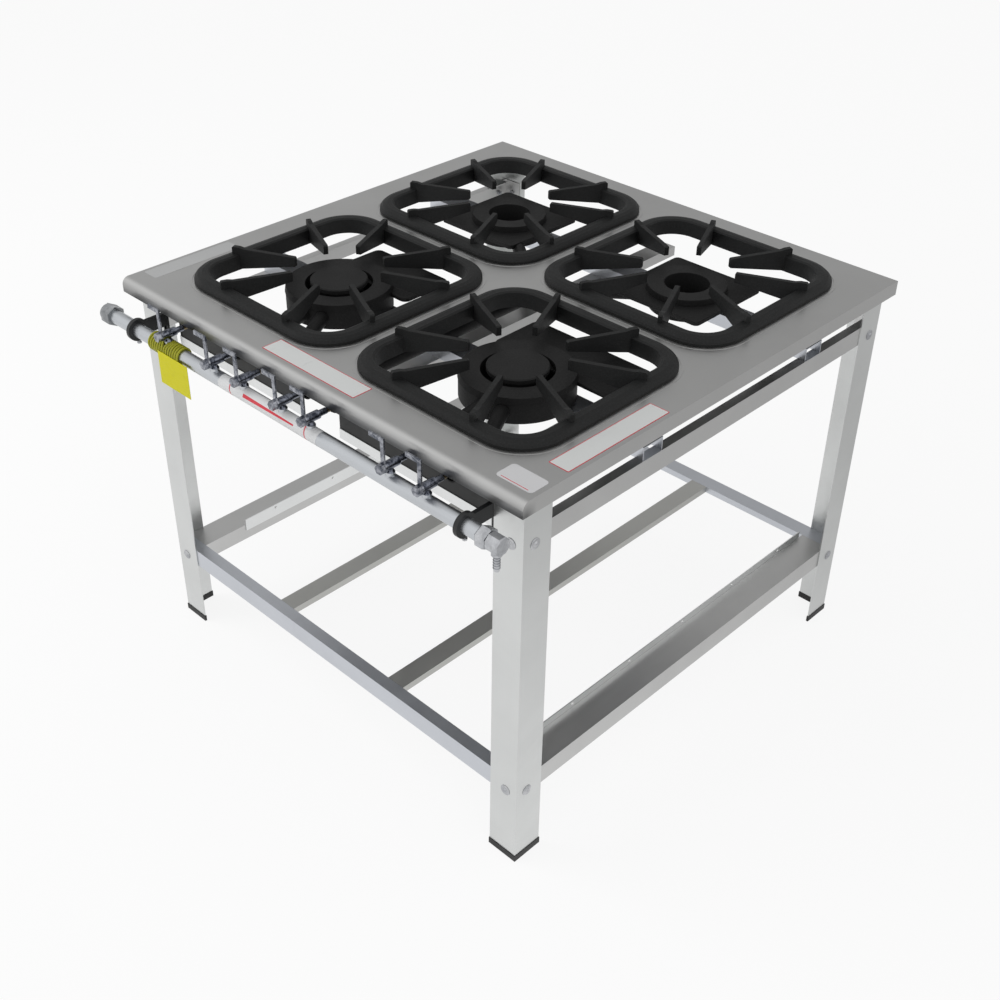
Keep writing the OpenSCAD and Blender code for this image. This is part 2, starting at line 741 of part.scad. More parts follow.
// a venturi from its mouth behind the skirt to its burner, with a round knuckle at each turn
module venturi(route, short) translate([0, 0, valve_height]) {
    last = len(route) - 1;
    venturi_mouth(route, 0);
    for (i = [0 : last - 1]) {
        start = knuckle_gap(route, i);
        end = i == last - 1 ? short : knuckle_gap(route, i + 1);
        level_rod(route[i] + start * heading(route[i], route[i + 1]), bearing(route[i], route[i + 1]),
            norm(route[i + 1] - route[i]) - start - end, venturi_radius);
    }
    for (i = [1 : 1 : last - 1])
        translate(route[i]) sphere(r = venturi_radius + venturi_knuckle);
}

// the bell at a venturi's front end, or the space in it when inset is the wall
module venturi_mouth(route, inset) translate(route[0]) rotate([0, 90, bearing(route[0], route[1])])
    rotate_extrude() polygon([
        [0, -inset], [venturi_mouth_radius - inset, -inset],
        [venturi_mouth_radius - inset, venturi_mouth_length],
        [venturi_radius - inset - 0.5, venturi_mouth_length + venturi_cone_length],
        [0, venturi_mouth_length + venturi_cone_length]
    ]);

// the bore behind the mouth, which ends in the burner's wall or at the first knuckle
module venturi_bore(route, short) translate([0, 0, valve_height]) {
    venturi_mouth(route, venturi_wall);
    level_rod(route[0], bearing(route[0], route[1]),
        norm(route[1] - route[0]) - (len(route) == 2 ? short : 0), venturi_radius - venturi_wall);
}

// a burner's chamber and ring, seen from its own middle
module burner_shell(chamber, ring) {
    translate([0, 0, burner_bottom]) cylinder(r = chamber, h = ring_bottom - burner_bottom + cut);
    translate([0, 0, ring_bottom]) cylinder(r1 = ring, r2 = ring - 2, h = burner_ring_height);
}

module burner_front(side, routes) color(iron) at_origin() difference() {
    middle = [side * grate_middle, -grate_middle, 0];
    wall = front_ring_radius - 2 * chamber_step;
    union() {
        translate(middle) burner_shell(front_ring_radius - front_drum_step, front_ring_radius);
        for (route = routes)
            venturi(route, wall - 4);
    }
    for (route = routes)
        venturi_bore(route, wall);
    translate(middle + [0, 0, well_bottom]) difference() {
        cylinder(r = front_slot_radius, h = overall_height - well_bottom);
        translate([0, 0, -cut]) cylinder(r = cap_radius - 8, h = cap_seat - well_bottom + cut);
    }
    translate(middle + [0, 0, cap_seat - cap_spigot_length - 2])
        cylinder(r = cap_spigot_radius + cap_clearance, h = cap_spigot_length + 2 + cut);
}

module burner_rear(side, routes) color(iron) at_origin() difference() {
    middle = [side * grate_middle, grate_middle, 0];
    wall = rear_ring_radius - 2 * chamber_step;
    union() {
        translate(middle) burner_shell(rear_ring_radius - chamber_step, rear_ring_radius);
        translate(middle + [0, 0, base_bottom])
            round_plate(rear_base_size, rear_base_size, 10, burner_base_thickness);
        for (route = routes)
            venturi(route, wall - 4);
    }
    for (route = routes)
        venturi_bore(route, wall);
    translate(middle + [0, 0, well_bottom])
        cylinder(r = rear_hole_radius, h = overall_height - well_bottom);
}

// shapes drawn along +Z are laid along the tube, from a place on its axis towards the right
module along_tube(x) {
    translate([x, tube_y, tube_height]) rotate([0, 90, 0]) children();
}

// shapes drawn along +Z are laid along a valve's stem, from a place on its axis towards the rear
module along_stem(y) {
    translate([0, y, valve_height]) rotate([-90, 0, 0]) children();
}

// the disc in the middle of a front burner, with a spigot in the burner's hole
module cap(side) color(iron) at_origin() translate([side * grate_middle, -grate_middle, cap_seat + seat]) {
    rim = cap_thickness - seat - cap_chamfer;
    cylinder(r = cap_radius, h = rim);
    translate([0, 0, rim]) cylinder(r1 = cap_radius, r2 = cap_radius - cap_chamfer, h = cap_chamfer);
    translate([0, 0, -cap_spigot_length]) cylinder(r = cap_spigot_radius, h = cap_spigot_length + 2);
}

module gas_tube() color(bright) at_origin() difference() {
    union() {
        along_tube(-tube_left) cylinder(r = tube_radius, h = tube_left + tube_right);
        for (x = valve_x)
            translate([x, tube_y, tube_height])
                cylinder(r = valve_boss_radius, h = boss_top - tube_height);
    }
    along_tube(-tube_left - cut)
        cylinder(r = tube_radius - tube_wall, h = tube_left + tube_right + 2 * cut);
    for (x = valve_x)
        translate([x, tube_y, tube_height]) cylinder(r = valve_neck_radius - 2, h = tube_height);
}

module end_cap() color(bright) at_origin() along_tube(-end_cap_end) difference() {
    union() {
        cylinder(r = end_cap_radius - 4, h = 6);
        translate([0, 0, 5]) cylinder(r = end_cap_radius, h = end_cap_length - 5, $fn = 6);
    }
    translate([0, 0, end_cap_length - thread_depth - seat])
        cylinder(r = tube_radius + thread_clearance, h = thread_depth + cut);
}

// the union nut on the tube's right end, the elbow and the hose barb that points down
module hose_elbow() color(bright) at_origin() {
    neck = barb_drop - elbow_radius - 2;
    ridge_step = (neck - 6) / barb_ridges;
    difference() {
        union() {
            along_tube(union_left) cylinder(r = union_radius, h = union_length, $fn = 6);
            along_tube(union_right - cut) cylinder(r = elbow_radius - 3, h = elbow_x - union_right);
            along_tube(elbow_x) sphere(r = elbow_radius);
            translate([elbow_x, tube_y, tube_height - elbow_radius - 4])
                cylinder(r = barb_radius + 4, h = elbow_radius);
        }
        along_tube(union_left - cut)
            cylinder(r = tube_radius + thread_clearance, h = thread_depth + seat + cut);
    }
    translate([elbow_x, tube_y, tube_height - barb_drop]) difference() {
        union() {
            cylinder(r = barb_radius, h = neck);
            for (i = [0 : barb_ridges - 1])
                translate([0, 0, i * ridge_step]) cylinder(r1 = barb_radius,
                    r2 = barb_radius + barb_ridge, h = ridge_step * 0.75, $fn = 32);
        }
        translate([0, 0, -cut]) cylinder(r = barb_radius - 2, h = neck - 2);
    }
}

// a hook that holds the gas tube on a leg, with its foot behind the leg's front flange
module bracket(side) color(black) at_origin() on_side(side, 1) {
    left = bracket_left_face;
    right = bracket_right_face;
    foot_front = -side_rail_end;
    foot_back = foot_front + bracket_foot;
    arm_bottom = tube_height - bracket_arm_height / 2;
    arm_top = tube_height + bracket_arm_height / 2;
    difference() {
        union() {
            along_tube(left) cylinder(r = hook_outer, h = bracket_thickness);
            block([left, tube_y + hook_inner, arm_bottom], [right, foot_back, arm_top]);
        }
        along_tube(left - cut) cylinder(r = hook_inner, h = bracket_thickness + 2 * cut);
        block([left - cut, tube_y + 3, tube_height - 2 * hook_outer],
            [right + cut, tube_y + hook_outer + cut, arm_bottom]);
    }
    difference() {
        block([left, foot_front, upper_bolt_height - 12], [bolt_x + 12, foot_back, arm_top]);
        hole_along_y(bolt_x, foot_front, upper_bolt_height);
    }
}

// the small screw that clamps each hook from below
module bracket_screws() color(bright) at_origin() {
    middle = bracket_right_face - bracket_thickness / 2;
    foot = tube_height - hook_outer - seat;
    for (x = [-middle, middle])
        translate([x, tube_y, foot - 6]) {
            cylinder(r = hook_screw_radius, h = 6, $fn = 20);
            cylinder(r = hook_screw_radius + 2, h = 3, $fn = 6);
        }
}

// a valve stands on its boss; its barrel lies along Y with the stem's bore at the front
module valve(index) color(bright) at_origin() translate([valve_x[index - 1], 0, 0]) {
    foot = boss_top + seat / 2;
    translate([0, tube_y, foot])
        cylinder(r = valve_neck_radius, h = valve_height - valve_barrel_radius + 2 - foot);
    translate([0, tube_y, foot])
        cylinder(r1 = valve_boss_radius, r2 = valve_neck_radius, h = 4, $fn = 32);
    difference() {
        union() {
            along_stem(barrel_front) cylinder(r = valve_barrel_radius, h = barrel_back - barrel_front);
            along_stem(barrel_back - cut)
                cylinder(r = valve_neck_radius, h = outlet_back - barrel_back + cut);
        }
        along_stem(barrel_front - cut)
            cylinder(r = stem_radius + stem_clearance, h = stem_depth + 2 + cut);
        along_stem(barrel_front + cut)
            cylinder(r = valve_neck_radius - 4, h = outlet_back - barrel_front, $fn = 16);
    }
}

// a lever turns on its stem; the bonnet nut in front turns with it
module lever(index) color(bright) at_origin() translate([valve_x[index - 1], 0, 0]) {
    half = lever_width / 2;
    translate([0, lever_back, valve_height]) rotate([90, 0, 0]) linear_extrude(lever_thickness) {
        circle(r = lever_hub_radius);
        translate([-half, 0]) square([lever_width, lever_height]);
        translate([-lever_arm, lever_height - lever_width]) square([lever_arm + half, lever_width]);
    }
    along_stem(lever_back - cut) cylinder(r = stem_radius, h = stem_depth + cut);
    along_stem(bonnet_front) cylinder(r = bonnet_radius, h = bonnet_length, $fn = 6);
}

module injectors() color(brass) at_origin() {
    for (x = valve_x)
        translate([x, 0, 0]) difference() {
            union() {
                along_stem(outlet_back + seat / 2)
                    cylinder(r = injector_radius, h = injector_length / 2, $fn = 6);
                along_stem(outlet_back + seat / 2)
                    cylinder(r = injector_radius - 1.6, h = injector_length, $fn = 20);
            }
            along_stem(outlet_back - cut) cylinder(r = 1, h = injector_length + 3 * cut, $fn = 16);
        }
}

// the plastic spiral: one strand wound on the gas tube, with one wide step past the first valve
spiral_rings = 24;
spiral_sides = 6;
spiral_radius = tube_radius + spiral_clearance + spiral_strand_radius;
spiral_wide_step = 2 * (valve_boss_radius + spiral_strand_radius + spiral_boss_gap) - spiral_pitch;
spiral_start = valve_x[0] - spiral_wide_turn * spiral_pitch - spiral_wide_step / 2;

// how much of the wide step lies behind, as a share, at a count of turns
function wide_share(turns) =
    let (t = min(max(turns - spiral_wide_turn + 0.5, 0), 1)) t * t * (3 - 2 * t);
function spiral_along(turns) = spiral_pitch * turns + spiral_wide_step * wide_share(turns);
function spiral_centre(turns) = [
    spiral_start + spiral_along(turns),
    tube_y + spiral_radius * sin(360 * turns),
    tube_height - spiral_radius * cos(360 * turns)
];
function spiral_heading(turns) =
    let (a = spiral_centre(turns - 0.01), b = spiral_centre(turns + 0.01)) (b - a) / norm(b - a);
function spiral_ring(turns) =
    let (
        middle = spiral_centre(turns),
        outward = [0, sin(360 * turns), -cos(360 * turns)],
        across = cross(spiral_heading(turns), outward)
    )
    [
        for (k = [0 : spiral_sides - 1])
            let (angle = 360 * k / spiral_sides)
            middle + spiral_strand_radius * (outward * cos(angle) + across * sin(angle))
    ];
spiral_count = spiral_turns * spiral_rings + 1;
spiral_points = [for (i = [0 : spiral_count - 1]) each spiral_ring(i / spiral_rings)];
spiral_walls = [
    for (i = [0 : spiral_count - 2])
        for (k = [0 : spiral_sides - 1])
            let (
                a = i * spiral_sides + k,
                b = i * spiral_sides + (k + 1) % spiral_sides,
                c = a + spiral_sides,
                d = b + spiral_sides
            )
            each [[a, b, d], [a, d, c]]
];
spiral_ends = [
    for (k = [1 : spiral_sides - 2])
        each [
            [0, k + 1, k],
            [(spiral_count - 1) * spiral_sides, (spiral_count - 1) * spiral_sides + k,
                (spiral_count - 1) * spiral_sides + k + 1]
        ]
];

module tag_spiral() color(yellow) at_origin() {
    least = min([
        for (i = [0 : 2 : spiral_count - 1 - spiral_rings])
            for (j = [i + spiral_rings - 3 : i + spiral_rings + 3])
                if (j < spiral_count)
                    norm(spiral_centre(i / spiral_rings) - spiral_centre(j / spiral_rings))
    ]) - 2 * spiral_strand_radius;
    echo("least gap between turns of the spiral", least);
    polyhedron(points = spiral_points, faces = concat(spiral_walls, spiral_ends));
}

module tag() color(yellow) at_origin() {
    front = tube_y - spiral_radius - spiral_strand_radius - 0.2 - tag_thickness;
    left = spiral_start + tag_offset;
    block([left, front, tube_height - tag_height], [left + tag_width, front + tag_thickness, tube_height]);
}

top_plate();
leg(-1, -1);  // leg_front_left
leg(1, -1);  // leg_front_right
leg(-1, 1);  // leg_rear_left
leg(1, 1);  // leg_rear_right
shoe(-1, -1);  // shoe_front_left
shoe(1, -1);  // shoe_front_right
shoe(-1, 1);  // shoe_rear_left
shoe(1, 1);  // shoe_rear_right
end_rail(-1, front_rail_flange);  // lower_rail_front
end_rail(1, rear_rail_flange);  // lower_rail_rear
side_rail(-1);  // lower_rail_left
side_rail(1);  // lower_rail_right
lower_edge_strips();
slat(-1);  // slat_left
slat(1);  // slat_right
upper_rail(-1);  // upper_rail_left
upper_rail(1);  // upper_rail_right
centre_rail();
burner_bar(-1);  // bar_front
burner_bar(1);  // bar_rear
front_tie();
front_panel(-1);  // front_panel_left
front_panel(1);  // front_panel_right
front_panel_strips();
lower_bolts();
upper_bolts();
grate(-1, -1);  // grate_front_left
grate(1, -1);  // grate_front_right
grate(-1, 1);  // grate_rear_left
grate(1, 1);  // grate_rear_right
burner_front(-1, front_left_routes);  // burner_front_left
burner_front(1, front_right_routes);  // burner_front_right
burner_rear(-1, rear_left_routes);  // burner_rear_left
burner_rear(1, rear_right_routes);  // burner_rear_right
cap(-1);  // cap_front_left
cap(1);  // cap_front_right
gas_tube();
end_cap();
hose_elbow();
bracket(-1);  // bracket_left
bracket(1);  // bracket_right
bracket_screws();
valve(1);  // valve_1
valve(2);  // valve_2
valve(3);  // valve_3
valve(4);  // valve_4
valve(5);  // valve_5
valve(6);  // valve_6
valve(7);  // valve_7
lever(1);  // lever_1
lever(2);  // lever_2
lever(3);  // lever_3
lever(4);  // lever_4
lever(5);  // lever_5
lever(6);  // lever_6
lever(7);  // lever_7
injectors();
tag_spiral();
tag();
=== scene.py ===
"""Looks of the four-burner gas stove: camera, light, materials and the small pieces that only show.

Lengths are in metres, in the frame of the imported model: +Z up, front towards -Y.
"""
import math

import bmesh
import bpy
import numpy as np
from mathutils import Matrix, Vector


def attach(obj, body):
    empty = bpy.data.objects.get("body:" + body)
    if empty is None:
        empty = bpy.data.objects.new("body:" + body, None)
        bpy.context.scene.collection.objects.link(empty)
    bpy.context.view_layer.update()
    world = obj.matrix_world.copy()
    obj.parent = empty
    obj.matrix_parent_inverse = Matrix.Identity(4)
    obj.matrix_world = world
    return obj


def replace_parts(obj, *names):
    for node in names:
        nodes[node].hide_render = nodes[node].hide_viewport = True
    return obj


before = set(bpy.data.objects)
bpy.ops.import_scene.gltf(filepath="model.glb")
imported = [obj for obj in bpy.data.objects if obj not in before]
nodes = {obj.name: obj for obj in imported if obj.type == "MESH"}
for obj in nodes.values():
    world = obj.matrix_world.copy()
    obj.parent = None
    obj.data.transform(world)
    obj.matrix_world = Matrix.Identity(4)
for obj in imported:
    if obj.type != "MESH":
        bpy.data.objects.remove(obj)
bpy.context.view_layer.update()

# camera: the photograph's viewpoint
CAMERA_AT = (1.5732, -1.6367, 1.9064)
CAMERA_YAW = math.radians(44.504)
CAMERA_PITCH = math.radians(-34.132)
CAMERA_ROLL = math.radians(0.384)
SENSOR = 36.0
FOCAL = SENSOR * 1.34325
SHIFT = (0.01775, -0.02497)
CAMERA_FAR = 100

# light: the tones of the floor and of the sky, where 1 is white, the way in which each falls off and the
# stretch of it, and each lamp's place, side and power
FLOOR_SIZE = 60
FLOOR_MATTE = 0.8
FLOOR_WHITE = 0.975
FLOOR_SHARE = 0.9
FLOOR_FRONT = 0.93
FLOOR_REAR = 0.55
FLOOR_WAY = (0.707, 0.707, 0.0)
FLOOR_FALL = (0.2, 1.4)
SKY_FRONT = 1.0
SKY_BACK = 0.50
SKY_WAY = (-0.40, 0.75, 0.53)
SKY_FALL = (0.45, 0.96)
LIGHTS = {
    "key": ((-2.6, -2.4, 2.6), 2.6, 80),
    "fill": ((2.8, -0.6, 1.2), 2.0, 12),
}
LIT_POINT = (0, 0, 0.5)

# the stove's own places and sizes
MIDDLE = (0.0075, 0.036)
PLATE_TOP = 0.800
TUBE_Y = -0.516
TUBE_Z = 0.736
TUBE_RADIUS = 0.01335
VALVE_BOSS_X = -0.3185
LEG_FACE = 0.495
BOLT_INSET = 0.469
BOLT_HEIGHTS = {"lower": 0.162, "upper": 0.692}
BURNER_OFFSET = 0.231
LUG_BOTTOM = 0.7722
LUG_THICK = 0.0076
VENTURI_Z = 0.766
UNION_X = 0.4705
ELBOW_X = 0.4905
BARB_X = 0.5025


def make_camera():
    """Places the camera where the photograph was taken from."""
    data = bpy.data.cameras.new("camera")
    camera = bpy.data.objects.new("camera", data)
    bpy.context.scene.collection.objects.link(camera)
    turn = (
        Matrix.Rotation(CAMERA_YAW, 4, "Z")
        @ Matrix.Rotation(math.pi / 2 + CAMERA_PITCH, 4, "X")
        @ Matrix.Rotation(CAMERA_ROLL, 4, "Z")
    )
    camera.matrix_world = Matrix.Translation(CAMERA_AT) @ turn
    data.sensor_width = SENSOR
    data.lens = FOCAL
    data.shift_x, data.shift_y = SHIFT
    data.clip_end = CAMERA_FAR
    bpy.context.scene.camera = camera


make_camera()
scene = bpy.context.scene
scene.view_settings.view_transform = "Standard"


# shader helpers
def shader(tree, kind, inputs=None, **settings):
    """Adds a node to a tree. inputs maps a socket's name or number to a value or to another node's socket."""
    made = tree.nodes.new(kind)
    for key, value in settings.items():
        setattr(made, key, value)
    for key, value in (inputs or {}).items():
        socket = made.inputs[key]
        if isinstance(value, bpy.types.NodeSocket):
            tree.links.new(value, socket)
        else:
            socket.default_value = value
    return made


def mapped(tree, vector, scale):
    """The vector with each axis times its scale."""
    return shader(tree, "ShaderNodeMapping", {"Vector": vector, "Scale": scale}).outputs[0]


def noise(tree, vector, scale, detail, roughness, distortion=0.0):
    """A noise value about 0.5."""
    inputs = {
        "Vector": vector, "Scale": scale, "Detail": detail, "Roughness": roughness, "Distortion": distortion,
    }
    return shader(tree, "ShaderNodeTexNoise", inputs).outputs["Fac"]


def spread(tree, value, low, high, to_low=0.0, to_high=1.0):
    """Carries the range low to high over to the range to_low to to_high, and stops at its ends."""
    made = shader(
        tree,
        "ShaderNodeMapRange",
        {"Value": value, "From Min": low, "From Max": high, "To Min": to_low, "To Max": to_high},
    )
    return made.outputs[0]


def maths(tree, how, first, second):
    """One step of arithmetic."""
    return shader(tree, "ShaderNodeMath", {0: first, 1: second}, operation=how).outputs[0]


# the Mix node's sockets for colours, by number
MIX_SHARE, MIX_FIRST, MIX_SECOND = 0, 6, 7
MIX_RESULT = 2


def mixed(tree, share, first, second, how="MIX"):
    """A colour between two colours, or the one times the other."""
    made = tree.nodes.new("ShaderNodeMix")
    made.data_type = "RGBA"
    made.blend_type = how
    for number, value in ((MIX_SHARE, share), (MIX_FIRST, first), (MIX_SECOND, second)):
        if isinstance(value, bpy.types.NodeSocket):
            tree.links.new(value, made.inputs[number])
        else:
            made.inputs[number].default_value = value
    return made.outputs[MIX_RESULT]


def inside(tree, where, low, high, soft):
    """1 inside a box and 0 outside it, with an edge of the given softness. None leaves a side open."""
    axes = shader(tree, "ShaderNodeSeparateXYZ", {0: where}).outputs
    share = None
    for axis in range(3):
        for limit, before, after in ((low[axis], 0.0, 1.0), (high[axis], 1.0, 0.0)):
            if limit is None:
                continue
            part = spread(tree, axes[axis], limit - soft, limit + soft, before, after)
            share = part if share is None else maths(tree, "MULTIPLY", share, part)
    return share


def new_group(name, ins, outs):
    """An empty shader node group with named sockets. Returns its tree and its two end nodes."""
    tree = bpy.data.node_groups.new(name, "ShaderNodeTree")
    for title, kind in ins:
        tree.interface.new_socket(title, in_out="INPUT", socket_type=kind)
    for title, kind in outs:
        tree.interface.new_socket(title, in_out="OUTPUT", socket_type=kind)
    return tree, tree.nodes.new("NodeGroupInput"), tree.nodes.new("NodeGroupOutput")


FLOAT = "NodeSocketFloat"
COLOR = "NodeSocketColor"
VECTOR = "NodeSocketVector"


def make_brushed():
    """Rolled or brushed sheet: fine lines along one axis, cloudy patches and a few wiped smears."""
    tree, start, end = new_group(
        "brushed sheet",
        [("Vector", VECTOR), ("Stretch", VECTOR), ("Color", COLOR), ("Roughness", FLOAT), ("Lines", FLOAT)],
        [("Color", COLOR), ("Roughness", FLOAT), ("Height", FLOAT)],
    )
    where = start.outputs["Vector"]
    stretched = shader(
        tree, "ShaderNodeVectorMath", {0: where, 1: start.outputs["Stretch"]}, operation="MULTIPLY"
    ).outputs[0]
    lines = noise(tree, stretched, scale=1.0, detail=4.0, roughness=0.7)
    clouds = noise(tree, where, scale=5.0, detail=4.0, roughness=0.55, distortion=0.6)
    wiped = mapped(tree, where, (9.0, 4.0, 6.0))
    smears = noise(tree, wiped, scale=1.6, detail=5.0, roughness=0.6, distortion=1.5)
    specks = noise(tree, where, scale=900.0, detail=2.0, roughness=0.6)
    line_shift = maths(tree, "MULTIPLY", maths(tree, "SUBTRACT", lines, 0.5), start.outputs["Lines"])
    cloud_shift = spread(tree, clouds, 0.25, 0.75, -0.05, 0.05)
    speck_shift = spread(tree, specks, 0.2, 0.8, -0.02, 0.02)
    tone = maths(
        tree, "ADD", maths(tree, "ADD", line_shift, cloud_shift), maths(tree, "ADD", speck_shift, 1.0)
    )
    grey = shader(tree, "ShaderNodeCombineColor", {0: tone, 1: tone, 2: tone}).outputs[0]
    colour = mixed(tree, 1.0, start.outputs["Color"], grey, "MULTIPLY")
    smear_rough = spread(tree, smears, 0.45, 0.75, 0.0, 0.09)
    line_rough = maths(tree, "MULTIPLY", line_shift, 0.6)
    rough = maths(tree, "ADD", start.outputs["Roughness"], maths(tree, "ADD", smear_rough, line_rough))
    tree.links.new(colour, end.inputs["Color"])
    tree.links.new(rough, end.inputs["Roughness"])
    tree.links.new(maths(tree, "ADD", lines, maths(tree, "MULTIPLY", clouds, 2.0)), end.inputs["Height"])
    return tree


def make_cast():
    """Sand-cast iron under black enamel: grains, pits and broad unevenness, with paler grains on top."""
    tree, start, end = new_group(
        "sand cast",
        [("Vector", VECTOR), ("Color", COLOR), ("Pale", COLOR), ("Roughness", FLOAT)],
        [("Color", COLOR), ("Roughness", FLOAT), ("Height", FLOAT)],
    )
    where = start.outputs["Vector"]
    grains = noise(tree, where, scale=420.0, detail=3.0, roughness=0.65)
    lumps = noise(tree, where, scale=60.0, detail=3.0, roughness=0.5)
    patches = noise(tree, where, scale=9.0, detail=4.0, roughness=0.6, distortion=0.4)
    pits = shader(tree, "ShaderNodeTexVoronoi", {"Vector": where, "Scale": 260.0}).outputs["Distance"]
    pale_grains = spread(tree, grains, 0.48, 0.75)
    pale_patches = spread(tree, patches, 0.3, 0.7, 0.35, 1.0)
    pale = maths(tree, "MULTIPLY", pale_grains, pale_patches)
    colour = mixed(tree, pale, start.outputs["Color"], start.outputs["Pale"])
    patch_rough = spread(tree, patches, 0.3, 0.7, -0.06, 0.06)
    grain_rough = spread(tree, grains, 0.3, 0.7, 0.05, -0.05)
    rough = maths(tree, "ADD", start.outputs["Roughness"], maths(tree, "ADD", patch_rough, grain_rough))
    lump_height = maths(tree, "MULTIPLY", lumps, 1.6)
    pit_depth = spread(tree, pits, 0.0, 0.25, -0.6, 0.0)
    height = maths(tree, "ADD", lump_height, maths(tree, "ADD", grains, pit_depth))
    tree.links.new(colour, end.inputs["Color"])
    tree.links.new(rough, end.inputs["Roughness"])
    tree.links.new(height, end.inputs["Height"])
    return tree


BRUSHED = make_brushed()
CAST = make_cast()


# each finish's bump: its strength and its distance
SHEET_BUMP = (0.12, 0.00012)
CAST_BUMP = (0.35, 0.0005)
PLATED_BUMP = (0.06, 0.0002)
PAINT_BUMP = (0.12, 0.0002)


def start_material(name):
    """A new material, its tree, its surface and the object's own coordinates."""
    made = bpy.data.materials.new(name)
    made.use_nodes = True
    tree = made.node_tree
    tree.nodes.clear()
    surface = tree.nodes.new("ShaderNodeBsdfPrincipled")
    out = tree.nodes.new("ShaderNodeOutputMaterial")
    tree.links.new(surface.outputs[0], out.inputs[0])
    where = tree.nodes.new("ShaderNodeTexCoord").outputs["Object"]
    return made, tree, surface, where


def give(tree, surface, colour, roughness, height, bump, metallic=0.0, specular=0.5):
    """Links the surface's colour and roughness, bends its normal by the height, and sets the rest."""
    tree.links.new(colour, surface.inputs["Base Color"])
    tree.links.new(roughness, surface.inputs["Roughness"])
    strength, distance = bump
    bumped = shader(
        tree, "ShaderNodeBump", {"Strength": strength, "Distance": distance, "Height": height}
    )
    tree.links.new(bumped.outputs[0], surface.inputs["Normal"])
    surface.inputs["Metallic"].default_value = metallic
    surface.inputs["Specular IOR Level"].default_value = specular


def brushed_metal(name, colour, roughness, stretch, lines, metallic=1.0, painted_shades=()):
    """Sheet metal with its grain along the axis of the smallest stretch. Its shade boxes (low, high,
    softness, colour) are painted shade: in each box the sheet's colour is darkened towards the box's colour."""
    made, tree, surface, where = start_material(name)
    group = shader(tree, "ShaderNodeGroup", node_tree=BRUSHED)
    tree.links.new(where, group.inputs["Vector"])
    group.inputs["Stretch"].default_value = stretch
    group.inputs["Color"].default_value = (*colour, 1)
    group.inputs["Roughness"].default_value = roughness
    group.inputs["Lines"].default_value = lines
    colour = group.outputs["Color"]
    # painted shade: each box darkens the sheet's colour inside it
    for low, high, soft, shade in painted_shades:
        colour = mixed(tree, inside(tree, where, low, high, soft), colour, (*shade, 1))
    roughness, height = group.outputs["Roughness"], group.outputs["Height"]
    give(tree, surface, colour, roughness, height, SHEET_BUMP, metallic)
    return made


def cast_iron(name, colour, pale, roughness):
    """Black cast iron."""
    made, tree, surface, where = start_material(name)
    group = shader(tree, "ShaderNodeGroup", node_tree=CAST)
    tree.links.new(where, group.inputs["Vector"])
    group.inputs["Color"].default_value = (*colour, 1)
    group.inputs["Pale"].default_value = (*pale, 1)
    group.inputs["Roughness"].default_value = roughness
    colour, roughness, height = (group.outputs[key] for key in ("Color", "Roughness", "Height"))
    give(tree, surface, colour, roughness, height, CAST_BUMP, specular=0.22)
    return made


def plated(name, colour, dull_and_reflection, roughness, patch=40.0):
    """Zinc or chrome plate: small crystals of slightly different tone, and patches of a second colour, which
    is dull plate on most parts and painted dark reflection on the levers and valves.
    """
    made, tree, surface, where = start_material(name)
    crystals = shader(tree, "ShaderNodeTexVoronoi", {"Vector": where, "Scale": 330.0}).outputs["Color"]
    tone = shader(tree, "ShaderNodeSeparateColor", {0: crystals}).outputs[0]
    patches = noise(tree, where, scale=patch, detail=4.0, roughness=0.6, distortion=0.5)
    # the patches' second colour: dull plate on most parts, painted dark reflection on the levers and valves
    base = mixed(tree, spread(tree, patches, 0.4, 0.62), (*colour, 1), (*dull_and_reflection, 1))
    shade = spread(tree, tone, 0.0, 1.0, 0.93, 1.05)
    grey = shader(tree, "ShaderNodeCombineColor", {0: shade, 1: shade, 2: shade}).outputs[0]
    rough = spread(tree, patches, 0.3, 0.7, roughness - 0.05, roughness + 0.1)
    colour = mixed(tree, 1.0, base, grey, "MULTIPLY")
    give(tree, surface, colour, rough, patches, PLATED_BUMP, metallic=1.0)
    return made


def painted(name, colour, worn, roughness, scale=700.0, specular=0.4, creases=0.0):
    """Paint or plastic: a fine orange-peel skin, cloudy sheen, scuffs of the worn colour, and creases."""
    made, tree, surface, where = start_material(name)
    peel = noise(tree, where, scale=scale, detail=2.0, roughness=0.5)
    clouds = noise(tree, where, scale=14.0, detail=4.0, roughness=0.6, distortion=0.8)
    scuffed = mapped(tree, where, (60.0, 25.0, 140.0))
    scuffs = noise(tree, scuffed, scale=1.0, detail=5.0, roughness=0.7, distortion=0.8)
    folded = mapped(tree, where, (35.0, 35.0, 90.0))
    folds = noise(tree, folded, scale=1.0, detail=2.0, roughness=0.4, distortion=1.2)
    scuff_share = spread(tree, scuffs, 0.58, 0.72)
    cloud_share = spread(tree, clouds, 0.4, 0.65, 0.15, 1.0)
    share = maths(tree, "MULTIPLY", scuff_share, cloud_share)
    base = mixed(tree, share, (*colour, 1), (*worn, 1))
    rough = spread(tree, clouds, 0.3, 0.7, roughness - 0.06, roughness + 0.08)
    height = maths(tree, "ADD", peel, maths(tree, "MULTIPLY", folds, creases))
    give(tree, surface, base, rough, height, PAINT_BUMP, specular=specular)
    return made
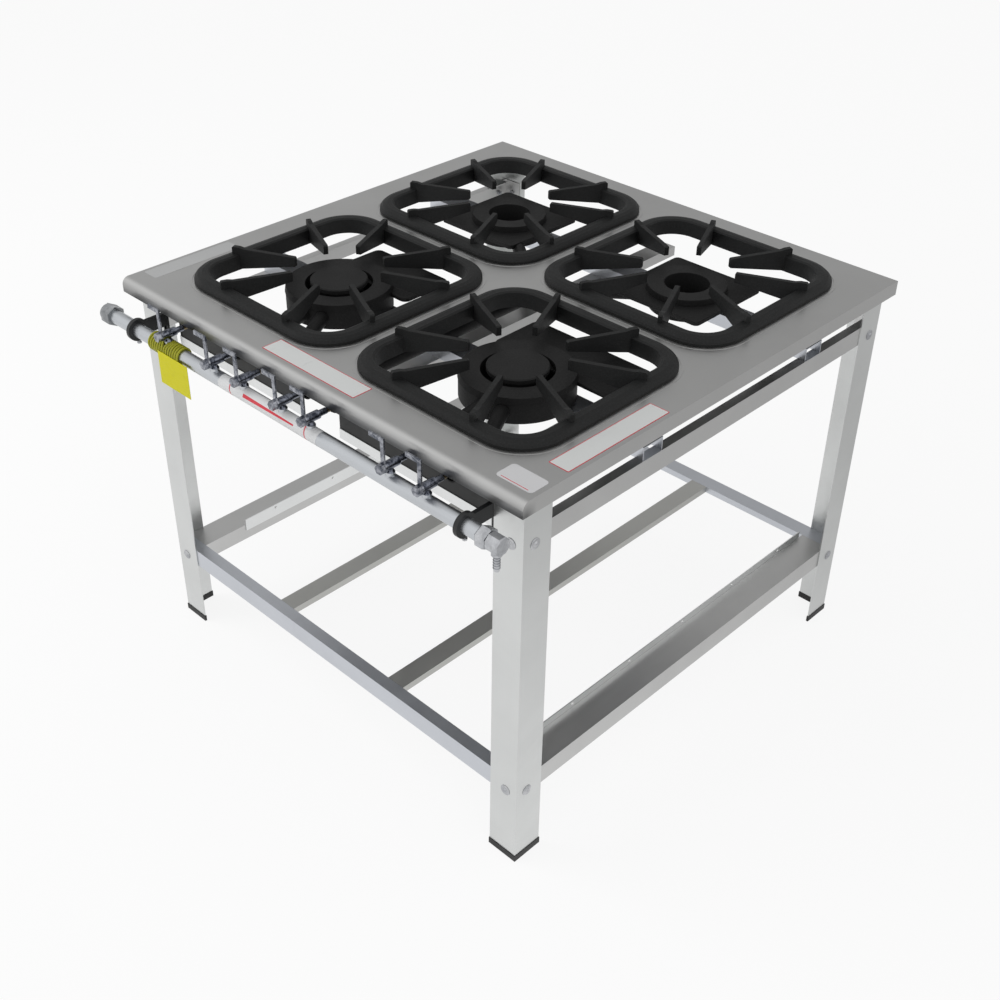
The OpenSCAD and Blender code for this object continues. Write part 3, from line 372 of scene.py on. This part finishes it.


# materials: the grain's stretch along each axis, the boxes of painted shade on the plate, and the finishes
ALONG_X = (3.0, 2600.0, 2600.0)
ALONG_Y = (2600.0, 3.0, 2600.0)
ALONG_Z = (2600.0, 2600.0, 3.0)
# painted shade: the plate's underside is coloured near black, as it lies in shade
PAINTED_SHADE_UNDER_PLATE = ((-0.506, -0.4700, None), (0.521, 0.5385, 0.7991), 0.0004, (0.07, 0.07, 0.07))
# painted shade: the foot of the front skirt is coloured darker, as it stands in shade
PAINTED_SHADE_SKIRT_FOOT = ((None, None, None), (None, -0.465, 0.786), 0.010, (0.19, 0.19, 0.19))
plate_steel = brushed_metal(
    "plate steel", (0.50, 0.50, 0.495), 0.31, ALONG_X, 0.05, painted_shades=(PAINTED_SHADE_SKIRT_FOOT, PAINTED_SHADE_UNDER_PLATE)
)
leg_steel = brushed_metal("leg steel", (0.66, 0.67, 0.665), 0.34, ALONG_Z, 0.08)
rail_steel_x = brushed_metal("rail steel across", (0.58, 0.60, 0.64), 0.32, ALONG_X, 0.10)
rail_steel_y = brushed_metal("rail steel along", (0.56, 0.56, 0.555), 0.34, ALONG_Y, 0.10)
strip_steel = brushed_metal("strip steel", (0.78, 0.79, 0.79), 0.38, ALONG_X, 0.10)
slat_steel = brushed_metal("slat steel", (0.50, 0.50, 0.48), 0.36, ALONG_Y, 0.10)
dark_steel = painted(
    "dark panel", (0.013, 0.0135, 0.0135), (0.04, 0.04, 0.04), 0.45, 400.0, specular=0.3
)
iron = cast_iron("cast iron", (0.0075, 0.0078, 0.0078), (0.018, 0.0185, 0.019), 0.56)
burner_iron = cast_iron("burner iron", (0.0065, 0.0065, 0.0065), (0.014, 0.014, 0.0145), 0.60)
tube_metal = brushed_metal("tube metal", (0.54, 0.56, 0.585), 0.33, ALONG_X, 0.08)
elbow_metal = plated("elbow zinc", (0.56, 0.57, 0.59), (0.42, 0.43, 0.45), 0.34)
cap_metal = plated("end cap zinc", (0.38, 0.39, 0.40), (0.26, 0.27, 0.28), 0.36)
bolt_metal = plated("bolt zinc", (0.56, 0.565, 0.58), (0.40, 0.41, 0.43), 0.30)
# painted reflection: the dark second colour of the levers and valves stands in for dark reflections
lever_metal = plated("lever zinc", (0.36, 0.37, 0.405), (0.10, 0.11, 0.135), 0.22, 110.0)
valve_metal = plated("valve metal", (0.22, 0.235, 0.28), (0.035, 0.04, 0.055), 0.22, 130.0)
brass_metal = plated("brass metal", (0.26, 0.20, 0.10), (0.18, 0.14, 0.08), 0.36)
black_paint = painted("black paint", (0.010, 0.0105, 0.011), (0.04, 0.04, 0.04), 0.42)
black_plastic = painted("black plastic", (0.009, 0.009, 0.009), (0.05, 0.05, 0.048), 0.48, 900.0)
yellow_plastic = painted(
    "yellow plastic", (0.27, 0.27, 0.015), (0.19, 0.19, 0.02), 0.36, 500.0, specular=0.3
)
yellow_card = painted(
    "yellow card", (0.46, 0.43, 0.004), (0.38, 0.36, 0.008), 0.42, 300.0, specular=0.15, creases=30.0
)
white_vinyl = painted("white vinyl", (0.49, 0.50, 0.495), (0.42, 0.43, 0.425), 0.38, 600.0)
grey_vinyl = painted("grey vinyl", (0.50, 0.505, 0.51), (0.42, 0.425, 0.43), 0.38, 600.0)
red_vinyl = painted("red vinyl", (0.46, 0.03, 0.045), (0.38, 0.05, 0.06), 0.38, 600.0)
silver_foil = brushed_metal("silver foil", (0.62, 0.62, 0.63), 0.42, ALONG_X, 0.06, metallic=0.5)
clear_film = brushed_metal("clear film", (0.54, 0.545, 0.545), 0.36, ALONG_Y, 0.10, metallic=0.8)

MATERIALS = {
    plate_steel: ["top_plate"],
    leg_steel: ["leg_front_left", "leg_front_right", "leg_rear_left", "leg_rear_right"],
    rail_steel_x: ["lower_rail_front", "lower_rail_rear", "bar_front", "bar_rear"],
    rail_steel_y: [
        "lower_rail_left", "lower_rail_right", "upper_rail_left", "upper_rail_right", "centre_rail",
    ],
    slat_steel: ["slat_left", "slat_right"],
    strip_steel: ["lower_edge_strips", "front_panel_strips"],
    dark_steel: ["front_panel_left", "front_panel_right", "front_tie"],
    iron: ["grate_front_left", "grate_front_right", "grate_rear_left", "grate_rear_right"],
    burner_iron: [
        "burner_front_left", "burner_front_right", "burner_rear_left", "burner_rear_right",
        "cap_front_left", "cap_front_right",
    ],
    tube_metal: ["gas_tube"],
    elbow_metal: ["hose_elbow"],
    cap_metal: ["end_cap"],
    bolt_metal: ["lower_bolts", "upper_bolts", "bracket_screws"],
    lever_metal: ["lever_%d" % i for i in range(1, 8)],
    valve_metal: ["valve_%d" % i for i in range(1, 8)],
    brass_metal: ["injectors"],
    black_paint: ["bracket_left", "bracket_right"],
    black_plastic: ["shoe_front_left", "shoe_front_right", "shoe_rear_left", "shoe_rear_right"],
    yellow_plastic: ["tag_spiral"],
    yellow_card: ["tag"],
}
for material, names in MATERIALS.items():
    for name in names:
        for place in nodes[name].material_slots:
            place.material = material


# pieces made here
def add_piece(name, mesh, material, body):
    """Puts a mesh in the scene as a piece of a body, with its material."""
    mesh.materials.clear()
    mesh.materials.append(material)
    made = bpy.data.objects.new(name, mesh)
    scene.collection.objects.link(made)
    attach(made, body)
    return made


def loft(name, shells, material, body="frame"):
    """A piece from one or more shells. A shell is an array of closed rings, rings by corners by 3: its faces
    join each ring to the next, and one flat face closes each end."""
    points, faces, first = [], [], 0
    for rings in shells:
        count, corners = rings.shape[:2]
        row, column = np.meshgrid(np.arange(count - 1), np.arange(corners), indexing="ij")
        after = (column + 1) % corners
        here, there = row * corners, (row + 1) * corners
        quads = np.stack([here + column, here + after, there + after, there + column], axis=-1)
        faces += (first + quads.reshape(-1, 4)).tolist()
        faces.append((first + np.arange(corners)[::-1]).tolist())
        faces.append((first + (count - 1) * corners + np.arange(corners)).tolist())
        points.append(rings.reshape(-1, 3))
        first += count * corners
    mesh = bpy.data.meshes.new(name)
    mesh.from_pydata(np.concatenate(points).tolist(), [], faces)
    mesh.polygons.foreach_set("use_smooth", [True] * len(mesh.polygons))
    right_faces(mesh)
    return add_piece(name, mesh, material, body)


CREASE = math.radians(28)


def right_faces(mesh):
    """Merges a mesh's doubles, turns its faces outwards and marks the edges bent more than CREASE."""
    work = bmesh.new()
    work.from_mesh(mesh)
    bmesh.ops.remove_doubles(work, verts=work.verts, dist=1e-6)
    bmesh.ops.recalc_face_normals(work, faces=work.faces)
    for edge in work.edges:
        edge.smooth = len(edge.link_faces) == 2 and edge.calc_face_angle(0.0) < CREASE
    work.to_mesh(mesh)
    work.free()
    mesh.update()


def spiral():
    """A strand wound on the tube: centre(t) = (start + pitch t + aside(t), R sin 2 pi t, -R cos 2 pi t), t in
    turns. Near the top, where the first valve's boss stands, aside pushes the strand away from the boss: it
    is the sign of the strand's offset u from the boss times widest_push - push_fall (|u| - half a pitch),
    never below 0, times a bell that is 1 at the top and 0 a sixth of a turn from it. Each ring is
    centre + r (outward cos a + across sin a), and r falls over the round_end rings at each end."""
    turns, per_turn, sides = 14, 40, 14
    strand, wound_length, clearance = 0.0022, 0.094, 0.00015
    widest_push, push_fall = 0.0069, 0.357
    round_end = (0.25, 0.66, 0.87, 0.97)
    pitch = wound_length / turns
    radius = TUBE_RADIUS + clearance + strand
    start = VALVE_BOSS_X - turns / 2 * pitch
    t = np.linspace(0, turns, turns * per_turn + 1)

    def centre(at):
        from_top = np.abs((at % 1.0) - 0.5) * 6.0
        bell = np.where(from_top < 1, 0.5 + 0.5 * np.cos(np.pi * np.clip(from_top, 0, 1)), 0.0)
        along = start + pitch * at
        offset = start + pitch * (np.floor(at) + 0.5) - VALVE_BOSS_X
        push = np.sign(offset) * np.maximum(0.0, widest_push - (np.abs(offset) - pitch / 2) * push_fall)
        return np.stack([
            along + bell * push,
            TUBE_Y + radius * np.sin(2 * np.pi * at),
            TUBE_Z - radius * np.cos(2 * np.pi * at),
        ], axis=-1)

    middle = centre(t)
    heading = np.gradient(middle, axis=0)
    heading /= np.linalg.norm(heading, axis=1)[:, None]
    outward = np.stack([np.zeros_like(t), np.sin(2 * np.pi * t), -np.cos(2 * np.pi * t)], axis=-1)
    across = np.cross(heading, outward)
    across /= np.linalg.norm(across, axis=1)[:, None]
    size = np.ones_like(t)
    size[:4] = size[:-5:-1] = round_end
    angle = np.linspace(0, 2 * np.pi, sides, endpoint=False)
    rings = middle[:, None] + strand * size[:, None, None] * (
        outward[:, None] * np.cos(angle)[None, :, None] + across[:, None] * np.sin(angle)[None, :, None]
    )
    return loft("spiral_binding", [rings], yellow_plastic)


def round_corners(low, high, radius):
    """The outline of a rectangle with round corners, anticlockwise: each corner's middle plus its radius
    times (cos a, sin a), where a runs a quarter turn at each corner."""
    middles = np.array([
        (high[0] - radius, high[1] - radius), (low[0] + radius, high[1] - radius),
        (low[0] + radius, low[1] + radius), (high[0] - radius, low[1] + radius),
    ])
    points_each = 7
    a = np.radians(90 * np.arange(4)[:, None] + np.linspace(0, 90, points_each)[None, :])
    return (middles[:, None] + radius * np.stack([np.cos(a), np.sin(a)], axis=-1)).reshape(-1, 2)


def slab(low, high, radius, bottom, thick, edge):
    """A slab's shell: the rounded outline, drawn in by the edge at both faces and full between them."""
    rings = []
    for draw, level in ((edge, 0.0), (0.0, edge), (0.0, thick - edge), (edge, thick)):
        outline = round_corners(
            (low[0] + draw, low[1] + draw), (high[0] - draw, high[1] - draw), radius - draw
        )
        rings.append(np.column_stack([outline, np.full(len(outline), bottom + level)]))
    return np.stack(rings)


def sticker(name, low, high, radius, bottom, thick, material):
    """A thin sheet that lies flat on the plate, with round corners and eased edges."""
    return loft(name, [slab(low, high, radius, bottom, thick, thick * 0.25)], material)


def sleeve(name, start, end, from_degrees, to_degrees, lift, thick, material, slant=0.0, taper=1.0):
    """A sheet wrapped on the tube: at each place along x a closed ring of two arcs about the tube's axis, the
    outer one at tube + lift + thick and the inner one at tube + lift. Degrees count from the front, downwards
    positive. slant moves the ring's x with its angle, and taper is the far end's share of the arc."""
    rings, steps = [], 33
    across = np.linspace(-1, 1, steps)
    middle, half = (from_degrees + to_degrees) / 2, (to_degrees - from_degrees) / 2
    for x, share in ((start, 1.0), (end, taper)):
        a = np.radians(middle + half * share * across)
        lean = slant * across
        arcs = [
            np.column_stack([x + lean, TUBE_Y - radius * np.cos(a), TUBE_Z - radius * np.sin(a)])
            for radius in (TUBE_RADIUS + lift + thick, TUBE_RADIUS + lift)
        ]
        rings.append(np.concatenate([arcs[0], arcs[1][::-1]]))
    return loft(name, [np.stack(rings)], material)


def turned(profile, at, axis, sides=32, first=0.0):
    """A turned shell: each point (r, h) of the profile makes a ring of radius r about the axis, h along it.
    With few sides it is a prism, and first is the angle of its first edge."""
    a = first + np.linspace(0, 2 * np.pi, sides, endpoint=False)
    axis = np.array(axis, float)
    side = np.cross(axis, (0.0, 0.0, 1.0)) if abs(axis[2]) < 0.9 else np.array((1.0, 0.0, 0.0))
    side /= np.linalg.norm(side)
    other = np.cross(axis, side)
    circle = side * np.cos(a)[:, None] + other * np.sin(a)[:, None]
    profile = np.array(profile)
    return np.array(at) + profile[:, :1, None] * circle + profile[:, 1:, None] * axis


def bolt_washers(level):
    """Thin dished washers under the domed heads, two on each leg: a rim turned about each bolt's own axis."""
    rim = [(0.0101, 0.0001), (0.0104, 0.0005), (0.0098, 0.0010), (0.0080, 0.0014), (0.0055, 0.0016)]
    z = BOLT_HEIGHTS[level]
    shells = []
    for sx in (-1, 1):
        for sy in (-1, 1):
            on_front = (MIDDLE[0] + sx * BOLT_INSET, MIDDLE[1] + sy * LEG_FACE, z)
            on_side = (MIDDLE[0] + sx * LEG_FACE, MIDDLE[1] + sy * BOLT_INSET, z)
            shells += [turned(rim, on_front, (0, sy, 0)), turned(rim, on_side, (sx, 0, 0))]
    return loft("bolt_washers_" + level, shells, bolt_metal)


def gas_elbow():
    """The union nut, the eight-sided elbow block and the ridged hose barb below it: prisms about the tube's
    axis, and a profile turned about the barb's axis, with a bore up its end. A ridge steps out at its top and
    tapers down."""
    nut = [
        (0.0140, 0.0), (0.0168, 0.0), (0.0188, 0.0024), (0.0188, 0.0172), (0.0168, 0.0198), (0.0120, 0.0198),
    ]
    block = [(0.0148, 0.0), (0.0162, 0.0012), (0.0162, 0.0225), (0.0146, 0.0245)]
    stem, ridge, ridges, first_ridge, step = 0.0048, 0.0060, 5, 0.0125, 0.0048
    bore, bore_depth, length, collar_top = 0.0030, 0.0118, 0.0378, 0.0112
    barb = [(0.0088, 0.0), (0.0088, 0.0085), (0.0078, 0.0095), (stem, 0.0105)]
    for i in range(ridges):
        top = first_ridge + step * i
        barb += [
            (stem, top), (ridge, top + 0.0003), (ridge - 0.0003, top + 0.0012), (stem, top + 0.0042),
        ]
    barb += [(stem - 0.0002, length), (bore, length), (bore, length - bore_depth)]
    shells = [
        turned(nut, (UNION_X, TUBE_Y, TUBE_Z), (1, 0, 0), 6, math.pi / 6),
        turned(block, (ELBOW_X, TUBE_Y, TUBE_Z), (1, 0, 0), 8, math.pi / 8),
        turned(barb, (BARB_X, TUBE_Y, TUBE_Z - collar_top), (0, 0, -1)),
    ]
    return loft("gas_elbow", shells, elbow_metal)


def burner_lug(side, word, left, right):
    """The flat lug behind a front burner, under its ring: a slab with round corners that reaches so far to
    the left and to the right of the burner's axis."""
    front, back, corner, edge = 0.052, 0.168, 0.014, 0.0012
    x = side * BURNER_OFFSET + MIDDLE[0]
    y = -BURNER_OFFSET + MIDDLE[1]
    shell = slab((x - left, y + front), (x + right, y + back), corner, LUG_BOTTOM, LUG_THICK, edge)
    return loft("burner_lug_" + word, [shell], burner_iron)


def rear_right_body():
    """The well, ring, square base and chamber in one shell of rings about the burner's axis. A ring is at
    (r cos a, r sin a, z), and r is a number where it is round. Round the base, r(a) = half / max(|cos a|,
    |sin a|) on the sides, and in the corners the far root of the corner's circle."""
    half, corner, step = 0.100, 0.010, 5.0
    round_corner = np.array([42.0, 43.0, 44.0, 46.0, 47.0, 48.0])
    corners = [90 * i + round_corner for i in range(4)]
    a = np.radians(np.unique(np.concatenate([np.arange(0.0, 360.0, step), *corners])))
    u, v = np.abs(np.cos(a)), np.abs(np.sin(a))
    side = half / np.maximum(u, v)
    along = (half - corner) * (u + v)
    root = along + np.sqrt(np.maximum(corner ** 2 - 2 * (half - corner) ** 2 + along ** 2, 0.0))
    base = np.where(np.minimum(u, v) * side > half - corner, root, side)
    eased = base - 0.0008
    levels = [
        (0.0430, 0.7492), (0.0430, 0.7914), (0.0436, 0.7920),  # the well
        (0.0746, 0.7920), (0.0752, 0.7914), (0.0770, 0.7800),  # the ring
        (eased, 0.7800), (base, 0.7792), (base, 0.7728), (eased, 0.7720),  # the base
        (0.0700, 0.7720), (0.0700, 0.7448), (0.0694, 0.7442),  # the chamber
    ]
    x, y = BURNER_OFFSET + MIDDLE[0], BURNER_OFFSET + MIDDLE[1]
    return np.stack([
        np.column_stack([x + r * np.cos(a), y + r * np.sin(a), np.full(a.shape, z)]) for r, z in levels
    ])


def rear_right_burner():
    """The rear right burner: its body, and its venturi of a bell and three straight pipes, turned about their
    own axes, with a round knuckle R (cos p, sin p) at each bend. The first pipe has the bell's bore. turns
    are the venturi's mouth as on the other burners, its two bends and the burner's axis."""
    turns = np.array([
        (0.0825, -0.4685, VENTURI_Z), (0.0335, -0.3885, VENTURI_Z), (0.0335, 0.0960, VENTURI_Z),
        (BURNER_OFFSET + MIDDLE[0], BURNER_OFFSET + MIDDLE[1], VENTURI_Z),
    ])
    ways = np.diff(turns, axis=0)
    lengths = np.linalg.norm(ways, axis=1)
    ways /= lengths[:, None]
    mouth_back, into_chamber = 0.006, 0.059
    pipe, bore, knuckle = 0.0130, 0.0105, 0.0155
    end = lengths[0] - mouth_back
    bore_end = end - 0.004
    bell = [
        (bore, bore_end), (bore, 0.0222), (0.0135, 0.0120), (0.0135, 0.0005), (0.0140, 0.0),  # its inside
        (0.0155, 0.0), (0.0160, 0.0005), (0.0160, 0.0120), (pipe, 0.0223), (pipe, end),  # its outside
    ]
    steepest, points = 84, 15
    p = np.radians(np.linspace(-steepest, steepest, points))
    ball = knuckle * np.stack([np.cos(p), np.sin(p)], axis=-1)
    shells = [
        rear_right_body(),
        turned(bell, turns[0] + mouth_back * ways[0], ways[0]),
        turned([(pipe, 0.0), (pipe, lengths[1])], turns[1], ways[1]),
        turned([(pipe, 0.0), (pipe, lengths[2] - into_chamber)], turns[2], ways[2]),
        turned(ball, turns[1], (0, 0, 1)),
        turned(ball, turns[2], (0, 0, 1)),
    ]
    return loft("burner_rear_right_casting", shells, burner_iron)


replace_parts(spiral(), "tag_spiral")
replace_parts(rear_right_burner(), "burner_rear_right")
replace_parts(gas_elbow(), "hose_elbow")
burner_lug(-1, "left", left=0.077, right=0.125)
burner_lug(1, "right", left=0.111, right=0.160)
bolt_washers("lower")
bolt_washers("upper")

# what is stuck on the plate and on the tube: the heights at which it lies, and a band's lift and thickness
ON_PLATE = PLATE_TOP + 0.00002
ON_EDGE = PLATE_TOP + 0.00022
ON_NAMEPLATE = PLATE_TOP + 0.0004
ON_LABEL = (0.00018, 0.00006)
for name, low, high, radius, bottom, thick, material in (
    ("label_front_edge", (-0.108, -0.464), (0.129, -0.422), 0.002, ON_PLATE, 0.00018, red_vinyl),
    ("label_front", (-0.1065, -0.4625), (0.1275, -0.4235), 0.001, ON_EDGE, 0.00012, white_vinyl),
    ("label_side_edge", (0.474, -0.378), (0.514, -0.137), 0.002, ON_PLATE, 0.00018, red_vinyl),
    ("label_side", (0.4755, -0.3765), (0.5125, -0.1385), 0.001, ON_EDGE, 0.00012, white_vinyl),
    ("nameplate", (0.440, -0.458), (0.513, -0.416), 0.007, ON_PLATE, 0.0004, silver_foil),
    ("nameplate_line", (0.449, -0.4545), (0.504, -0.4532), 0.0004, ON_NAMEPLATE, 0.0001, red_vinyl),
    ("margin_film", (-0.500, -0.440), (-0.462, -0.245), 0.003, ON_PLATE, 0.00016, clear_film),
):
    sticker(name, low, high, radius, bottom, thick, material)
sleeve("tube_label", -0.155, 0.108, -110, 110, 0.00003, 0.00012, grey_vinyl)
sleeve("tube_label_band_left", -0.1225, -0.1200, -68, 60, *ON_LABEL, red_vinyl, slant=0.004)
sleeve("tube_label_band_right", 0.0780, 0.0805, -68, 60, *ON_LABEL, red_vinyl, slant=0.004)
sleeve("tube_label_bar", -0.085, 0.050, -40, -12, *ON_LABEL, red_vinyl, taper=0.45)


# light and floor
def make_world():
    """Bright in front and low down, darker behind and above, as a white studio with an open back. The camera
    sees it as white."""
    world = bpy.data.worlds.new("studio")
    scene.world = world
    world.use_nodes = True
    tree = world.node_tree
    tree.nodes.clear()
    way = shader(tree, "ShaderNodeTexCoord").outputs["Generated"]
    away = tuple(Vector(SKY_WAY).normalized())
    facing = shader(
        tree, "ShaderNodeVectorMath", {0: way, 1: away}, operation="DOT_PRODUCT"
    ).outputs["Value"]
    light = spread(tree, facing, *SKY_FALL, SKY_FRONT, SKY_BACK)
    seen = shader(tree, "ShaderNodeLightPath").outputs["Is Camera Ray"]
    shown = spread(tree, seen, 0.0, 1.0, light, FLOOR_WHITE)
    background = shader(tree, "ShaderNodeBackground", {"Color": (1, 1, 1, 1), "Strength": shown})
    tree.links.new(background.outputs[0], tree.nodes.new("ShaderNodeOutputWorld").inputs[0])


def area_light(name, at, size, power):
    """A soft square light, left out of the metal's reflections."""
    data = bpy.data.lights.new(name, "AREA")
    data.shape = "SQUARE"
    data.size = size
    data.energy = power
    lamp = bpy.data.objects.new(name, data)
    scene.collection.objects.link(lamp)
    lamp.location = at
    lamp.rotation_euler = (Vector(LIT_POINT) - Vector(at)).to_track_quat("-Z", "Y").to_euler()
    lamp.visible_glossy = False


def make_floor():
    """A pale floor. The camera, and what mirrors or lets through, sees it as nearly white with the object's
    shadow on it, and in the metal it falls off towards the rear right, as it does away from a window."""
    bpy.ops.mesh.primitive_plane_add(size=FLOOR_SIZE, location=(0, 0, 0))
    floor = bpy.context.active_object
    floor.name = "floor"
    made = bpy.data.materials.new("floor")
    made.use_nodes = True
    tree = made.node_tree
    tree.nodes.clear()
    path = shader(tree, "ShaderNodeLightPath").outputs
    where = shader(tree, "ShaderNodeTexCoord").outputs["Object"]
    to_rear = shader(
        tree, "ShaderNodeVectorMath", {0: where, 1: FLOOR_WAY}, operation="DOT_PRODUCT"
    ).outputs["Value"]
    mirrored = spread(tree, to_rear, *FLOOR_FALL, FLOOR_FRONT, FLOOR_REAR)
    tone = spread(tree, path["Is Camera Ray"], 0.0, 1.0, mirrored, FLOOR_WHITE)
    seen = maths(
        tree, "MAXIMUM", path["Is Camera Ray"],
        maths(tree, "MAXIMUM", path["Is Glossy Ray"], path["Is Transmission Ray"]),
    )
    matte = shader(tree, "ShaderNodeBsdfDiffuse", {"Color": (FLOOR_MATTE, FLOOR_MATTE, FLOOR_MATTE, 1)})
    glow = shader(tree, "ShaderNodeEmission", {"Color": (1, 1, 1, 1), "Strength": tone})
    shown = shader(tree, "ShaderNodeMixShader", {0: FLOOR_SHARE, 1: matte.outputs[0], 2: glow.outputs[0]})
    both = shader(tree, "ShaderNodeMixShader", {0: seen, 1: matte.outputs[0], 2: shown.outputs[0]})
    tree.links.new(both.outputs[0], tree.nodes.new("ShaderNodeOutputMaterial").inputs[0])
    floor.data.materials.append(made)


make_world()
make_floor()
for name, (at, size, power) in LIGHTS.items():
    area_light(name, at, size, power)
